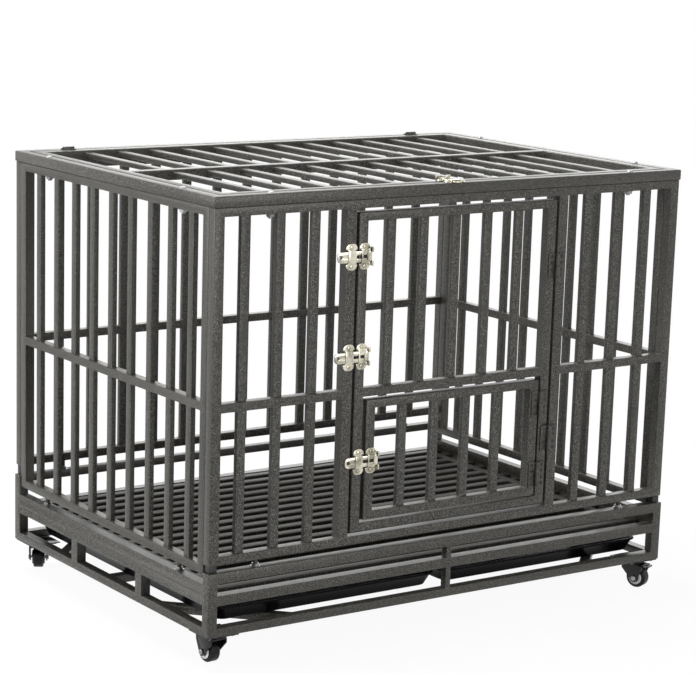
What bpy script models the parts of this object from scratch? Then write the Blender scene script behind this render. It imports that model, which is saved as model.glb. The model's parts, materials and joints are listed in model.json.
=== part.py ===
"""Heavy duty dog crate: bolted tube panels, a hinged lid, a door with a feeding door in it,
two slide-out trays and a base on four swivel casters. Metres, +Z up, front towards -Y."""

from math import cos, pi, radians, sin

import bmesh
import bpy
from mathutils import Matrix, Vector

# Overall tube frame, without casters and hardware
LENGTH = 1.067
DEPTH = 0.750
BODY_HEIGHT = 0.788          # underside of the base to the top of the rim
CASTER_HEIGHT = 0.060        # floor to the underside of the base

# Stock
TUBE = 0.020                 # square tube of posts, rim and lid frame
RAIL = 0.016                 # height of a panel's and a door's rails
BAR_WIDTH = 0.018
BAR_DEPTH = 0.010
EMBED = 0.002                # how far a welded end runs into what it is welded to
FIT = 0.0003                 # gap between separate pieces that touch
WALL_INSET = 0.002           # panel faces stand this far inside the rim and base faces
MID_RAIL_HEIGHT = 0.407      # underside of every mid rail, above the underside of the base

# Base, heights from its underside upwards
BASE_RAIL = 0.016
TRAY_BAY = 0.041
FLOOR_RAIL = 0.019
SIDE_TOP_RAIL = 0.020
FRONT_SLOT = 0.022
FRONT_TOP_RAIL = 0.0195
REAR_SLOT = 0.044
REAR_TOP_RAIL = 0.015
SIDE_POST = 0.023
SIDE_POST_PLACES = (-0.127, 0.122)
MID_POST_WIDTH = 0.011
MID_POST_DEPTH = 0.016
BRACE = 0.020                # width of the corner braces and the middle rail, level with the lowest rails
BRACE_REACH = 0.158          # from an inner corner of the base along both rails to a corner brace
BRACE_SHIFT = 0.006          # the middle rail lies this far behind the middle
SEAM = 0.001                 # groove between the two tubes stacked on each side
LEDGE_WIDTH = 0.012
LEDGE_THICKNESS = 0.003

# Gaps between base and panels, filled by spacers at the corners and bolts along the rails
FRONT_GAP = 0.014
REAR_GAP = 0.020
SIDE_GAP = 0.0165
SPACER = 0.016
STUD_RADIUS = 0.0045
FRONT_STUD_INSET = 0.1055    # from the crate's side to a bolt of the front panel
REAR_STUD_INSET = 0.1025
SIDE_STUD_INSET = 0.120      # from the crate's front and back to a bolt of a side panel

# Front panel and doors, places along the front from the middle
DOORWAY_CENTRE = -0.002
DOORWAY_WIDTH = 0.466
JAMB = 0.0215
DOOR_SIDE_GAP = 0.00575
DOOR_END_GAP = 0.007
FEED_LATCH_GAP = 0.008
FEED_HINGE_GAP = 0.004
FEED_TOP_GAP = 0.0065
FEED_BOTTOM_GAP = 0.004

# Bars in each panel: how many, and the shares of a pitch that lie between the posts' middles
# and the first and the last bar
FRONT_LEFT_BARS = (3, 0.745, 0.985)
FRONT_RIGHT_BARS = (3, 0.89, 0.89)
SIDE_BARS = (9, 0.79, 0.79)
REAR_BARS = (13, 1.1, 1.1)
DOOR_BARS = (5, 0.9, 1.02)
FEED_BARS = (4, 1.04, 1.165)
LID_BARS = (12, 1.45, 1.03)

# Lid, floor and trays
LID_GAP = 0.005
SLAT_WIDTH = 0.020
SLAT_THICKNESS = 0.010
SLATS = 17
FLOOR_FRONT_GAP = 0.020
FLOOR_REAR_GAP = 0.006
FLOOR_SIDE_GAP = 0.001
FLOOR_BORDER = 0.020         # side gap beyond each border rail, and the width of that rail
TRAY_HEIGHT = 0.026
TRAY_SIDE_GAP = 0.013        # from the base's inner face to the tray's lip
TRAY_MIDDLE_GAP = 0.012      # between the two trays
TRAY_FRONT = 0.026           # set back from the base's front face
TRAY_DEPTH = 0.690
TRAY_WALL = 0.003
TRAY_DRAFT = 0.012           # how far the wall leans in from the lip to the foot
TRAY_FOOT = 0.004            # radius of the rounded edge at the foot
TRAY_LIP = 0.004             # how far the lip stands out from the wall
TRAY_LIP_HEIGHT = 0.003
TRAY_CORNER = 0.018

# Hinges
HINGE_RADIUS = 0.005
HINGE_PIN = 0.003
HINGE_LENGTH = 0.050
HINGE_WING = 0.0185
HINGE_SHEET = 0.002
LEAF_GAP = 0.0006            # from a leaf to the other half's knuckle
DOOR_HINGE_RISE = 0.284      # lower hinge, above the underside of the base
DOOR_HINGE_DROP = 0.170      # upper hinge, below the top of the rim
FEED_HINGE_RISE = 0.0405     # lower hinge, above the underside of the feeding door
FEED_HINGE_DROP = 0.046      # upper hinge, below the top of the feeding door
LID_HINGE_LEFT = 0.1065      # left hinge, in from the left side of the rim
LID_HINGE_RIGHT = 0.1215     # right hinge, in from the right side of the rim
LID_HINGE_RADIUS = 0.003
LID_HINGE_PIN = 0.0015
LID_HINGE_LENGTH = 0.024
LID_HINGE_WING = 0.010

# Slide latches
LATCH_HEIGHT = 0.048
KEEPER_WIDTH = 0.024
GUIDE_WIDTH = 0.023
LATCH_SHEET = 0.0015
LATCH_ROUND = 0.009
STRAP_INSET = 0.0035         # the raised strap is this much narrower than its tabs at each edge
WINDOW_STRIP = 0.003         # strap left beside the window of a guide
WINDOW_HEIGHT = 0.014
BOLT_HEIGHT = 0.020
BOLT_THICKNESS = 0.003
TONGUE = 0.019               # bolt end beyond the keeper
TONGUE_ROUND = 0.008
LUG = 0.0085                 # finger lug of two ears, out from the bolt
LUG_OVERHANG = 0.007         # the ears stand out this far above and below the bolt
LUG_ROOT = 0.002             # and reach this far in over it
PADLOCK_HOLE = 0.0035
PADLOCK_EDGE = 0.004         # metal left between the padlock hole and the bolt's end
SCREW_HOLE = 0.0018
BOLT_SLOT = 0.006
BOLT_SLOT_END = 0.004        # from the slot to the lug
UPPER_LATCH_DROP = 0.1223    # below the top of the rim
MIDDLE_LATCH_RISE = 0.076    # above the underside of the mid rail
FEED_LATCH_DROP = 0.1135     # below the top of the feeding door
LID_LATCH = -0.015
LID_LATCH_HEIGHT = 0.044
LID_PLATE_WIDTH = 0.019
LID_TONGUE = 0.006

# Casters
CASTER_PLATE = 0.066
CASTER_EDGE = 0.002          # from the base's outer faces to the plate
CASTER_SHEET = 0.0025
RACEWAY_RADIUS = 0.016
KINGPIN_RADIUS = 0.004
KINGPIN_HEAD = 0.007
KINGPIN_HEAD_HEIGHT = 0.0022
FORK_WIDTH = 0.036
FORK_TOP = 0.0490            # height of the fork's top above the floor
FORK_CROWN = 0.003
TRAIL = 0.012
WHEEL_RADIUS = 0.021
TREAD_WIDTH = 0.020
WHEEL_WIDTH = 0.025
AXLE_RADIUS = 0.003
AXLE_HEAD = 0.0055
AXLE_HEAD_LENGTH = 0.0022
WHEEL_HUB_RADIUS = 0.0147
TREAD_CHAMFER = 0.002
LEG_ROUND = 0.008
LEG_ARC = (200, 160)         # where the leg's round lower end starts and how far it turns, in degrees
LEG_ARC_STEPS = 6
EAR_EDGE = 0.002             # metal round the pedal's pivot
PEDAL_PIVOT = 0.025          # kingpin to the pedal's pivot
PEDAL_HEIGHT = 0.0455
PEDAL_PIN = 0.002
PEDAL_REACH = 0.038
PEDAL_WIDTH = 0.027
PEDAL_SHEET = 0.0025
PEDAL_ROUND = 0.00325
PEDAL_RIM = 0.004            # width of the loop at its sides
PEDAL_END = 0.003            # width of the loop at its end
CASTER_TURNS = {"front_left": 95, "front_right": -69, "rear_left": 59, "rear_right": 20}

ROUND_SIDES = 16
PIN_SIDES = 12
STUD_SIDES = 8
NUT_SIDES = 6
WHEEL_SIDES = 24
ARC_STEPS = 4                # steps in a rounded corner

# Front faces: the rim and base plane is moved back so that the whole part is centred
PROUD = FIT + 2 * HINGE_RADIUS - WALL_INSET
FRONT = -DEPTH / 2 + PROUD / 2
REAR = FRONT + DEPTH
SIDE = LENGTH / 2
PANEL_FRONT = FRONT + WALL_INSET
PANEL_REAR = REAR - WALL_INSET
PANEL_SIDE = SIDE - WALL_INSET
SIDE_PANEL_FRONT = PANEL_FRONT + TUBE + FIT
SIDE_PANEL_REAR = PANEL_REAR - TUBE - FIT
MIDDLE_Y = (FRONT + REAR) / 2

# Heights above the floor
BASE = CASTER_HEIGHT
BAY_BOTTOM = BASE + BASE_RAIL
BAY_TOP = BAY_BOTTOM + TRAY_BAY
FLOOR_TOP = BAY_TOP + FLOOR_RAIL
SIDE_TOP = FLOOR_TOP + SIDE_TOP_RAIL
FRONT_TOP = FLOOR_TOP + FRONT_SLOT + FRONT_TOP_RAIL
REAR_TOP = FLOOR_TOP + REAR_SLOT + REAR_TOP_RAIL
FRONT_BOTTOM = FRONT_TOP + FRONT_GAP
REAR_BOTTOM = REAR_TOP + REAR_GAP
SIDE_BOTTOM = SIDE_TOP + SIDE_GAP
MID_RAIL = BASE + MID_RAIL_HEIGHT
RIM_TOP = BASE + BODY_HEIGHT
RIM_BOTTOM = RIM_TOP - TUBE
PANEL_TOP = RIM_BOTTOM - FIT

# Doorway and doors
DOORWAY_LEFT = DOORWAY_CENTRE - DOORWAY_WIDTH / 2
DOORWAY_RIGHT = DOORWAY_CENTRE + DOORWAY_WIDTH / 2
DOOR_LEFT = DOORWAY_LEFT + DOOR_SIDE_GAP
DOOR_RIGHT = DOORWAY_RIGHT - DOOR_SIDE_GAP
DOOR_BOTTOM = FRONT_BOTTOM + RAIL + DOOR_END_GAP
DOOR_TOP = PANEL_TOP - RAIL - DOOR_END_GAP
FEED_LEFT = DOOR_LEFT + TUBE + FEED_LATCH_GAP
FEED_RIGHT = DOOR_RIGHT - TUBE - FEED_HINGE_GAP
FEED_BOTTOM = DOOR_BOTTOM + RAIL + FEED_BOTTOM_GAP
FEED_TOP = MID_RAIL - FEED_TOP_GAP

# Hinge axes: in the middle of a door's gap, in front of the faces or above the rim
HINGE_Y = PANEL_FRONT - FIT - HINGE_RADIUS
MAIN_HINGE_X = DOORWAY_RIGHT - DOOR_SIDE_GAP / 2
FEED_HINGE_X = FEED_RIGHT + FEED_HINGE_GAP / 2
LID_HINGE_Y = REAR - TUBE - LID_GAP / 2
LID_HINGE_Z = RIM_TOP + FIT + LID_HINGE_RADIUS
DOOR_HINGES = (BASE + DOOR_HINGE_RISE, RIM_TOP - DOOR_HINGE_DROP)
FEED_HINGES = (FEED_BOTTOM + FEED_HINGE_RISE, FEED_TOP - FEED_HINGE_DROP)
LID_HINGES = (-SIDE + LID_HINGE_LEFT, SIDE - LID_HINGE_RIGHT)
FRONT_STUDS = SIDE - FRONT_STUD_INSET
REAR_STUDS = SIDE - REAR_STUD_INSET
SIDE_STUDS = DEPTH / 2 - SIDE_STUD_INSET

# Slide latches, heights above the floor
DOOR_LATCHES = {"upper": RIM_TOP - UPPER_LATCH_DROP, "middle": MID_RAIL + MIDDLE_LATCH_RISE}
FEED_LATCH = FEED_TOP - FEED_LATCH_DROP


def remove_everything():
    for thing in list(bpy.data.objects):
        bpy.data.objects.remove(thing, do_unlink=True)


def finish(name, colour, roughness, metallic):
    """A plain material for one kind of surface."""
    material = bpy.data.materials.new(name)
    material.use_nodes = True
    shader = material.node_tree.nodes["Principled BSDF"]
    shader.inputs["Base Color"].default_value = (*colour, 1.0)
    shader.inputs["Roughness"].default_value = roughness
    shader.inputs["Metallic"].default_value = metallic
    material.diffuse_color = (*colour, 1.0)
    return material


def mesh_object(name, shape, material, smooth=False):
    """Turn a bmesh into an object of the scene."""
    bmesh.ops.recalc_face_normals(shape, faces=shape.faces)
    mesh = bpy.data.meshes.new(name)
    shape.to_mesh(mesh)
    shape.free()
    if smooth:
        mesh.shade_smooth()
        mesh.set_sharp_from_angle(angle=radians(30))
    thing = bpy.data.objects.new(name, mesh)
    thing.data.materials.append(material)
    bpy.context.scene.collection.objects.link(thing)
    return thing


def add_box(shape, low, high):
    size = Vector(high) - Vector(low)
    middle = (Vector(high) + Vector(low)) / 2
    place = Matrix.Translation(middle) @ Matrix.Diagonal((*size, 1.0))
    bmesh.ops.create_cube(shape, size=1.0, matrix=place)


def box(name, low, high, material):
    shape = bmesh.new()
    add_box(shape, low, high)
    return mesh_object(name, shape, material)


def rod(name, start, end, radius, material, sides=ROUND_SIDES):
    """A round bar between two points."""
    start, end = Vector(start), Vector(end)
    turn = (end - start).to_track_quat("Z", "Y").to_matrix().to_4x4()
    place = Matrix.Translation((start + end) / 2) @ turn
    shape = bmesh.new()
    bmesh.ops.create_cone(shape, cap_ends=True, segments=sides, radius1=radius, radius2=radius,
                          depth=(end - start).length, matrix=place)
    return mesh_object(name, shape, material)


def prism(name, outline, low, high, material):
    """Extrude a closed outline of (x, y) points from one height to another."""
    shape = bmesh.new()
    bottom = shape.faces.new([shape.verts.new((x, y, low)) for x, y in outline])
    raised = bmesh.ops.extrude_face_region(shape, geom=[bottom])["geom"]
    verts = [part for part in raised if isinstance(part, bmesh.types.BMVert)]
    bmesh.ops.translate(shape, verts=verts, vec=(0, 0, high - low))
    return mesh_object(name, shape, material)


def loft(name, rings, material):
    """Skin a stack of (outline, height) rings and close both ends."""
    shape = bmesh.new()
    loops = [[shape.verts.new((x, y, height)) for x, y in outline] for outline, height in rings]
    for lower, upper in zip(loops, loops[1:]):
        for i in range(len(lower)):
            shape.faces.new((lower[i - 1], lower[i], upper[i], upper[i - 1]))
    shape.faces.new(loops[0])
    shape.faces.new(loops[-1])
    return mesh_object(name, shape, material)


def rounded_rectangle(low, high, radius, steps=ARC_STEPS):
    """Outline points of a rectangle with round corners."""
    corners = [
        (high[0] - radius, high[1] - radius, 0),
        (low[0] + radius, high[1] - radius, 90),
        (low[0] + radius, low[1] + radius, 180),
        (high[0] - radius, low[1] + radius, 270),
    ]
    points = []
    for x, y, start in corners:
        for step in range(steps + 1):
            angle = radians(start + 90 * step / steps)
            points.append((x + radius * cos(angle), y + radius * sin(angle)))
    return points


def combine(thing, other, operation):
    """Join, cut or intersect a piece with another, which is used up."""
    modifier = thing.modifiers.new("join", "BOOLEAN")
    modifier.operation = operation
    modifier.solver = "EXACT"
    modifier.use_self = operation == "UNION"
    modifier.object = other
    graph = bpy.context.evaluated_depsgraph_get()
    mesh = bpy.data.meshes.new_from_object(thing.evaluated_get(graph))
    thing.modifiers.clear()
    old = thing.data
    thing.data = mesh
    mesh.name = thing.name
    bpy.data.objects.remove(other, do_unlink=True)
    bpy.data.meshes.remove(old)
    return thing


def weld(name, boxes, material):
    """One welded piece from overlapping boxes, each a (low corner, high corner) pair."""
    shape = bmesh.new()
    for low, high in boxes[1:]:
        add_box(shape, low, high)
    piece = mesh_object(name, shape, material)
    return combine(piece, box("first_tube", *boxes[0], material), "UNION")


def move(thing, place):
    """Carry a piece built in its own frame to its place in the crate."""
    thing.data.transform(place)
    return thing


def pivot(thing, point):
    """Put a moving piece's origin on its joint axis without moving its shape."""
    thing.data.transform(Matrix.Translation(-Vector(point)))
    thing.location = point
    return thing


def bar_places(low, high, count, lead, tail):
    """Middles of the bars between two post middles, lead and tail being shares of a pitch."""
    pitch = (high - low) / (count - 1 + lead + tail)
    return [low + pitch * (lead + step) for step in range(count)]


def grille_x(places, y_front, bottom, top):
    """Upright bars of a panel that runs along X, set back in the depth of its rails."""
    half = BAR_WIDTH / 2
    back = y_front + (TUBE - BAR_DEPTH) / 2
    return [((x - half, back, bottom), (x + half, back + BAR_DEPTH, top)) for x in places]


def rail_x(left, right, y_front, bottom, height):
    """A tube of a panel that runs along X, as its low and high corner."""
    return ((left, y_front, bottom), (right, y_front + TUBE, bottom + height))


def leaf_boxes(left, right, y_front, bottom, top, with_mid_rail):
    """Stiles and rails of a door."""
    inner_left, inner_right = left + TUBE - EMBED, right - TUBE + EMBED
    boxes = [
        rail_x(left, left + TUBE, y_front, bottom, top - bottom),
        rail_x(right - TUBE, right, y_front, bottom, top - bottom),
        rail_x(inner_left, inner_right, y_front, bottom, RAIL),
        rail_x(inner_left, inner_right, y_front, top - RAIL, RAIL),
    ]
    if with_mid_rail:
        boxes.append(rail_x(inner_left, inner_right, y_front, MID_RAIL, RAIL))
    return boxes


def add_studs(panel, places, top, bottom, material):
    """Bolt shanks that bridge the gap between a panel's lower rail and the base."""
    for place in places:
        start = (*place, bottom + FIT)
        end = (*place, top + EMBED)
        combine(panel, rod("stud", start, end, STUD_RADIUS, material, STUD_SIDES), "UNION")
    return panel


def make_front_panel(steel):
    left, right = -PANEL_SIDE, PANEL_SIDE
    height = PANEL_TOP - FRONT_BOTTOM
    jambs = [(DOORWAY_LEFT - JAMB, DOORWAY_LEFT), (DOORWAY_RIGHT, DOORWAY_RIGHT + JAMB)]
    boxes = [
        rail_x(left, left + TUBE, PANEL_FRONT, FRONT_BOTTOM, height),
        rail_x(right - TUBE, right, PANEL_FRONT, FRONT_BOTTOM, height),
        rail_x(left + TUBE - EMBED, right - TUBE + EMBED, PANEL_FRONT, FRONT_BOTTOM, RAIL),
        rail_x(left + TUBE - EMBED, right - TUBE + EMBED, PANEL_FRONT, PANEL_TOP - RAIL, RAIL),
        rail_x(left + TUBE - EMBED, jambs[0][0] + EMBED, PANEL_FRONT, MID_RAIL, RAIL),
        rail_x(jambs[1][1] - EMBED, right - TUBE + EMBED, PANEL_FRONT, MID_RAIL, RAIL),
    ]
    rail_top, rail_bottom = PANEL_TOP - RAIL, FRONT_BOTTOM + RAIL
    jamb_height = rail_top - rail_bottom + 2 * EMBED
    for low, high in jambs:
        boxes.append(rail_x(low, high, PANEL_FRONT, rail_bottom - EMBED, jamb_height))
    left_bars = bar_places(left + TUBE / 2, jambs[0][0] + JAMB / 2, *FRONT_LEFT_BARS)
    right_bars = bar_places(jambs[1][0] + JAMB / 2, right - TUBE / 2, *FRONT_RIGHT_BARS)
    boxes += grille_x(left_bars + right_bars, PANEL_FRONT, rail_bottom - EMBED, rail_top + EMBED)
    panel = weld("front_panel", boxes, steel)
    places = [(side * FRONT_STUDS, PANEL_FRONT + TUBE / 2) for side in (-1, 1)]
    return add_studs(panel, places, FRONT_BOTTOM, FRONT_TOP, steel)


def make_rear_panel(steel):
    left, right = -PANEL_SIDE, PANEL_SIDE
    front = PANEL_REAR - TUBE
    inner_left, inner_right = left + TUBE - EMBED, right - TUBE + EMBED
    height = PANEL_TOP - REAR_BOTTOM
    boxes = [
        rail_x(left, left + TUBE, front, REAR_BOTTOM, height),
        rail_x(right - TUBE, right, front, REAR_BOTTOM, height),
        rail_x(inner_left, inner_right, front, REAR_BOTTOM, RAIL),
        rail_x(inner_left, inner_right, front, MID_RAIL, RAIL),
        rail_x(inner_left, inner_right, front, PANEL_TOP - RAIL, RAIL),
    ]
    places = bar_places(left + TUBE / 2, right - TUBE / 2, *REAR_BARS)
    boxes += grille_x(places, front, REAR_BOTTOM + RAIL - EMBED, PANEL_TOP - RAIL + EMBED)
    panel = weld("rear_panel", boxes, steel)
    places = [(side * REAR_STUDS, front + TUBE / 2) for side in (-1, 1)]
    return add_studs(panel, places, REAR_BOTTOM, REAR_TOP, steel)


def make_side_panel(name, side, steel):
    """The left (side -1) or right (side 1) panel, between the front and rear panels."""
    outer, inner = side * PANEL_SIDE, side * (PANEL_SIDE - TUBE)
    low, high = min(outer, inner), max(outer, inner)
    inner_front, inner_rear = SIDE_PANEL_FRONT + TUBE - EMBED, SIDE_PANEL_REAR - TUBE + EMBED
    boxes = [
        ((low, SIDE_PANEL_FRONT, SIDE_BOTTOM), (high, SIDE_PANEL_FRONT + TUBE, PANEL_TOP)),
        ((low, SIDE_PANEL_REAR - TUBE, SIDE_BOTTOM), (high, SIDE_PANEL_REAR, PANEL_TOP)),
    ]
    for bottom in (SIDE_BOTTOM, MID_RAIL, PANEL_TOP - RAIL):
        boxes.append(((low, inner_front, bottom), (high, inner_rear, bottom + RAIL)))
    middle = (low + high) / 2
    for y in bar_places(SIDE_PANEL_FRONT + TUBE / 2, SIDE_PANEL_REAR - TUBE / 2, *SIDE_BARS):
        corner = (middle - BAR_DEPTH / 2, y - BAR_WIDTH / 2, SIDE_BOTTOM + RAIL - EMBED)
        far = (middle + BAR_DEPTH / 2, y + BAR_WIDTH / 2, PANEL_TOP - RAIL + EMBED)
        boxes.append((corner, far))
    panel = weld(name, boxes, steel)
    places = [(middle, MIDDLE_Y + place) for place in (-SIDE_STUDS, SIDE_STUDS)]
    return add_studs(panel, places, SIDE_BOTTOM, SIDE_TOP, steel)


def make_rim(steel):
    boxes = [
        ((-SIDE, FRONT, RIM_BOTTOM), (SIDE, FRONT + TUBE, RIM_TOP)),
        ((-SIDE, REAR - TUBE, RIM_BOTTOM), (SIDE, REAR, RIM_TOP)),
        ((-SIDE, FRONT + TUBE - EMBED, RIM_BOTTOM), (-SIDE + TUBE, REAR - TUBE + EMBED, RIM_TOP)),
        ((SIDE - TUBE, FRONT + TUBE - EMBED, RIM_BOTTOM), (SIDE, REAR - TUBE + EMBED, RIM_TOP)),
    ]
    return weld("top_rim", boxes, steel)


def lid_edges():
    """Left, right, front and rear of the lid, inside the rim."""
    inset = TUBE + LID_GAP
    return -SIDE + inset, SIDE - inset, FRONT + inset, REAR - inset


def make_lid(steel):
    left, right, front, rear = lid_edges()
    inner_front, inner_rear = front + TUBE - EMBED, rear - TUBE + EMBED
    boxes = [
        ((left, front, RIM_BOTTOM), (right, front + TUBE, RIM_TOP)),
        ((left, rear - TUBE, RIM_BOTTOM), (right, rear, RIM_TOP)),
        ((left, inner_front, RIM_BOTTOM), (left + TUBE, inner_rear, RIM_TOP)),
        ((right - TUBE, inner_front, RIM_BOTTOM), (right, inner_rear, RIM_TOP)),
        ((left + TUBE - EMBED, MIDDLE_Y - TUBE / 2, RIM_BOTTOM),
         (right - TUBE + EMBED, MIDDLE_Y + TUBE / 2, RIM_TOP)),
    ]
    bottom = RIM_BOTTOM + (TUBE - BAR_DEPTH) / 2
    for x in bar_places(left + TUBE / 2, right - TUBE / 2, *LID_BARS):
        low = (x - BAR_WIDTH / 2, inner_front, bottom)
        boxes.append((low, (x + BAR_WIDTH / 2, inner_rear, bottom + BAR_DEPTH)))
    return weld("lid", boxes, steel)


def make_main_door(steel):
    boxes = leaf_boxes(DOOR_LEFT, DOOR_RIGHT, PANEL_FRONT, DOOR_BOTTOM, DOOR_TOP, True)
    places = bar_places(DOOR_LEFT + TUBE / 2, DOOR_RIGHT - TUBE / 2, *DOOR_BARS)
    boxes += grille_x(places, PANEL_FRONT, MID_RAIL + RAIL - EMBED, DOOR_TOP - RAIL + EMBED)
    return weld("main_door", boxes, steel)


def make_feeding_door(steel):
    boxes = leaf_boxes(FEED_LEFT, FEED_RIGHT, PANEL_FRONT, FEED_BOTTOM, FEED_TOP, False)
    places = bar_places(FEED_LEFT + TUBE / 2, FEED_RIGHT - TUBE / 2, *FEED_BARS)
    boxes += grille_x(places, PANEL_FRONT, FEED_BOTTOM + RAIL - EMBED, FEED_TOP - RAIL + EMBED)
    return weld("feeding_door", boxes, steel)


def make_base(steel):
    """The base: corner posts, stacked rails, braces under the trays and ledges for the floor."""
    inner_left, inner_right = -SIDE + TUBE - EMBED, SIDE - TUBE + EMBED
    inner_front, inner_rear = FRONT + TUBE - EMBED, REAR - TUBE + EMBED
    boxes = []
    for x in (-SIDE, SIDE - TUBE):
        boxes.append(((x, FRONT, BASE), (x + TUBE, FRONT + TUBE, FRONT_TOP)))
        boxes.append(((x, REAR - TUBE, BASE), (x + TUBE, REAR, REAR_TOP)))
        boxes.append(((x, inner_front, BASE), (x + TUBE, inner_rear, BAY_BOTTOM)))
        boxes.append(((x, inner_front, BAY_TOP), (x + TUBE, inner_rear, FLOOR_TOP - SEAM / 2)))
        boxes.append(((x, inner_front, FLOOR_TOP + SEAM / 2), (x + TUBE, inner_rear, SIDE_TOP)))
        boxes.append(((x + SEAM, inner_front, FLOOR_TOP - SEAM),
                      (x + TUBE - SEAM, inner_rear, FLOOR_TOP + SEAM)))
        for place in SIDE_POST_PLACES:
            y = MIDDLE_Y + place
            boxes.append(((x, y - SIDE_POST / 2, BAY_BOTTOM - EMBED),
                          (x + TUBE, y + SIDE_POST / 2, BAY_TOP + EMBED)))
    boxes += [
        rail_x(inner_left, inner_right, FRONT, BASE, BASE_RAIL),
        rail_x(inner_left, inner_right, FRONT, BAY_TOP, FLOOR_RAIL),
        rail_x(inner_left, inner_right, FRONT, FRONT_TOP - FRONT_TOP_RAIL, FRONT_TOP_RAIL),
        rail_x(inner_left, inner_right, REAR - TUBE, BASE, BASE_RAIL),
        rail_x(inner_left, inner_right, REAR - TUBE, BAY_TOP, FLOOR_RAIL),
        rail_x(inner_left, inner_right, REAR - TUBE, REAR_TOP - REAR_TOP_RAIL, REAR_TOP_RAIL),
    ]
    for low, high in ((BAY_BOTTOM, BAY_TOP), (FLOOR_TOP, FLOOR_TOP + FRONT_SLOT)):
        boxes.append(((-MID_POST_WIDTH / 2, FRONT, low - EMBED),
                      (MID_POST_WIDTH / 2, FRONT + MID_POST_DEPTH, high + EMBED)))
    middle = MIDDLE_Y + BRACE_SHIFT
    boxes.append(((inner_left, middle - BRACE / 2, BASE), (inner_right, middle + BRACE / 2, BAY_BOTTOM)))
    ledge_top = floor_underside() - FIT
    for low, high in ((inner_left, inner_left + LEDGE_WIDTH), (inner_right - LEDGE_WIDTH, inner_right)):
        boxes.append(((low, inner_front, ledge_top - LEDGE_THICKNESS), (high, inner_rear, ledge_top)))
    boxes.append(((-TUBE / 2, inner_front, BAY_TOP + EMBED / 2), (TUBE / 2, inner_rear, ledge_top)))
    return add_corner_braces(weld("base_frame", boxes, steel), steel)


def add_corner_braces(frame, steel):
    """Tubes laid at 45 degrees across the base's corners, their ends let into the rails."""
    run_in = BRACE / 2 + 2 * EMBED
    for side in (-1, 1):
        for face, inward in ((FRONT + TUBE, 1), (REAR - TUBE, -1)):
            on_side = Vector((side * (SIDE - TUBE), face + inward * BRACE_REACH))
            on_face = Vector((side * (SIDE - TUBE - BRACE_REACH), face))
            along = (on_face - on_side).normalized()
            across = Vector((-along.y, along.x)) * BRACE / 2
            start, end = on_side - along * run_in, on_face + along * run_in
            outline = [start - across, end - across, end + across, start + across]
            combine(frame, prism("brace", outline, BASE, BAY_BOTTOM, steel), "UNION")
    return frame


def floor_underside():
    return FLOOR_TOP - SLAT_THICKNESS


def make_floor(steel):
    """The slatted floor, which drops into the base and rests on its ledges."""
    edge = SIDE - TUBE - FLOOR_SIDE_GAP
    first = FRONT + TUBE + FLOOR_FRONT_GAP + SLAT_WIDTH / 2
    last = REAR - TUBE - FLOOR_REAR_GAP - SLAT_WIDTH / 2
    bottom = floor_underside()
    boxes = []
    for y in bar_places(first, last, SLATS, 0, 0):
        boxes.append(((-edge, y - SLAT_WIDTH / 2, bottom), (edge, y + SLAT_WIDTH / 2, FLOOR_TOP)))
    for x in (-edge + FLOOR_BORDER, edge - 2 * FLOOR_BORDER):
        boxes.append(((x, first, bottom), (x + FLOOR_BORDER, last, FLOOR_TOP)))
    return weld("floor_grid", boxes, steel)


def tray_profile():
    """A tray's wall, up the outside and down the inside, as (inset, height, corner radius)."""
    turns = [radians(90 * step / ARC_STEPS) for step in range(ARC_STEPS + 1)]
    centre = TRAY_DRAFT + TRAY_FOOT
    inner_foot = TRAY_FOOT - TRAY_WALL
    inner_corner = TRAY_CORNER - TRAY_WALL
    outside = [(centre - TRAY_FOOT * sin(turn), TRAY_FOOT * (1 - cos(turn)), TRAY_CORNER) for turn in turns]
    lip = [
        (TRAY_LIP, TRAY_HEIGHT - TRAY_LIP_HEIGHT, TRAY_CORNER),
        (0, TRAY_HEIGHT - TRAY_LIP_HEIGHT, TRAY_CORNER + TRAY_LIP),
        (0, TRAY_HEIGHT, TRAY_CORNER + TRAY_LIP),
        (TRAY_LIP + TRAY_WALL, TRAY_HEIGHT, inner_corner),
    ]
    inside = [(centre - inner_foot * sin(turn), TRAY_FOOT - inner_foot * cos(turn), inner_corner)
              for turn in reversed(turns)]
    return outside + lip + inside


def make_tray(name, side, plastic):
    """A moulded waste tray, open at the top, that slides out to the front over the base's braces."""
    edges = (side * TRAY_MIDDLE_GAP / 2, side * (SIDE - TUBE - TRAY_SIDE_GAP))
    left, right = min(edges), max(edges)
    front = FRONT + TRAY_FRONT
    rear = front + TRAY_DEPTH
    rings = []
    for inset, height, corner in tray_profile():
        outline = rounded_rectangle((left + inset, front + inset), (right - inset, rear - inset), corner)
        rings.append((outline, BAY_BOTTOM + FIT + height))
    return loft(name, rings, plastic)


def make_spacers(rubber):
    """Blocks that hold the panel posts above the base posts."""
    rows = {
        "front": (PANEL_FRONT + TUBE / 2, FRONT_TOP, FRONT_BOTTOM),
        "rear": (PANEL_REAR - TUBE / 2, REAR_TOP, REAR_BOTTOM),
    }
    for row, (y, bottom, top) in rows.items():
        for side, x in (("left", -PANEL_SIDE + TUBE / 2), ("right", PANEL_SIDE - TUBE / 2)):
            low = (x - SPACER / 2, y - SPACER / 2, bottom + FIT)
            high = (x + SPACER / 2, y + SPACER / 2, top - FIT)
            box(f"corner_spacer_{row}_{side}", low, high, rubber)


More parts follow.
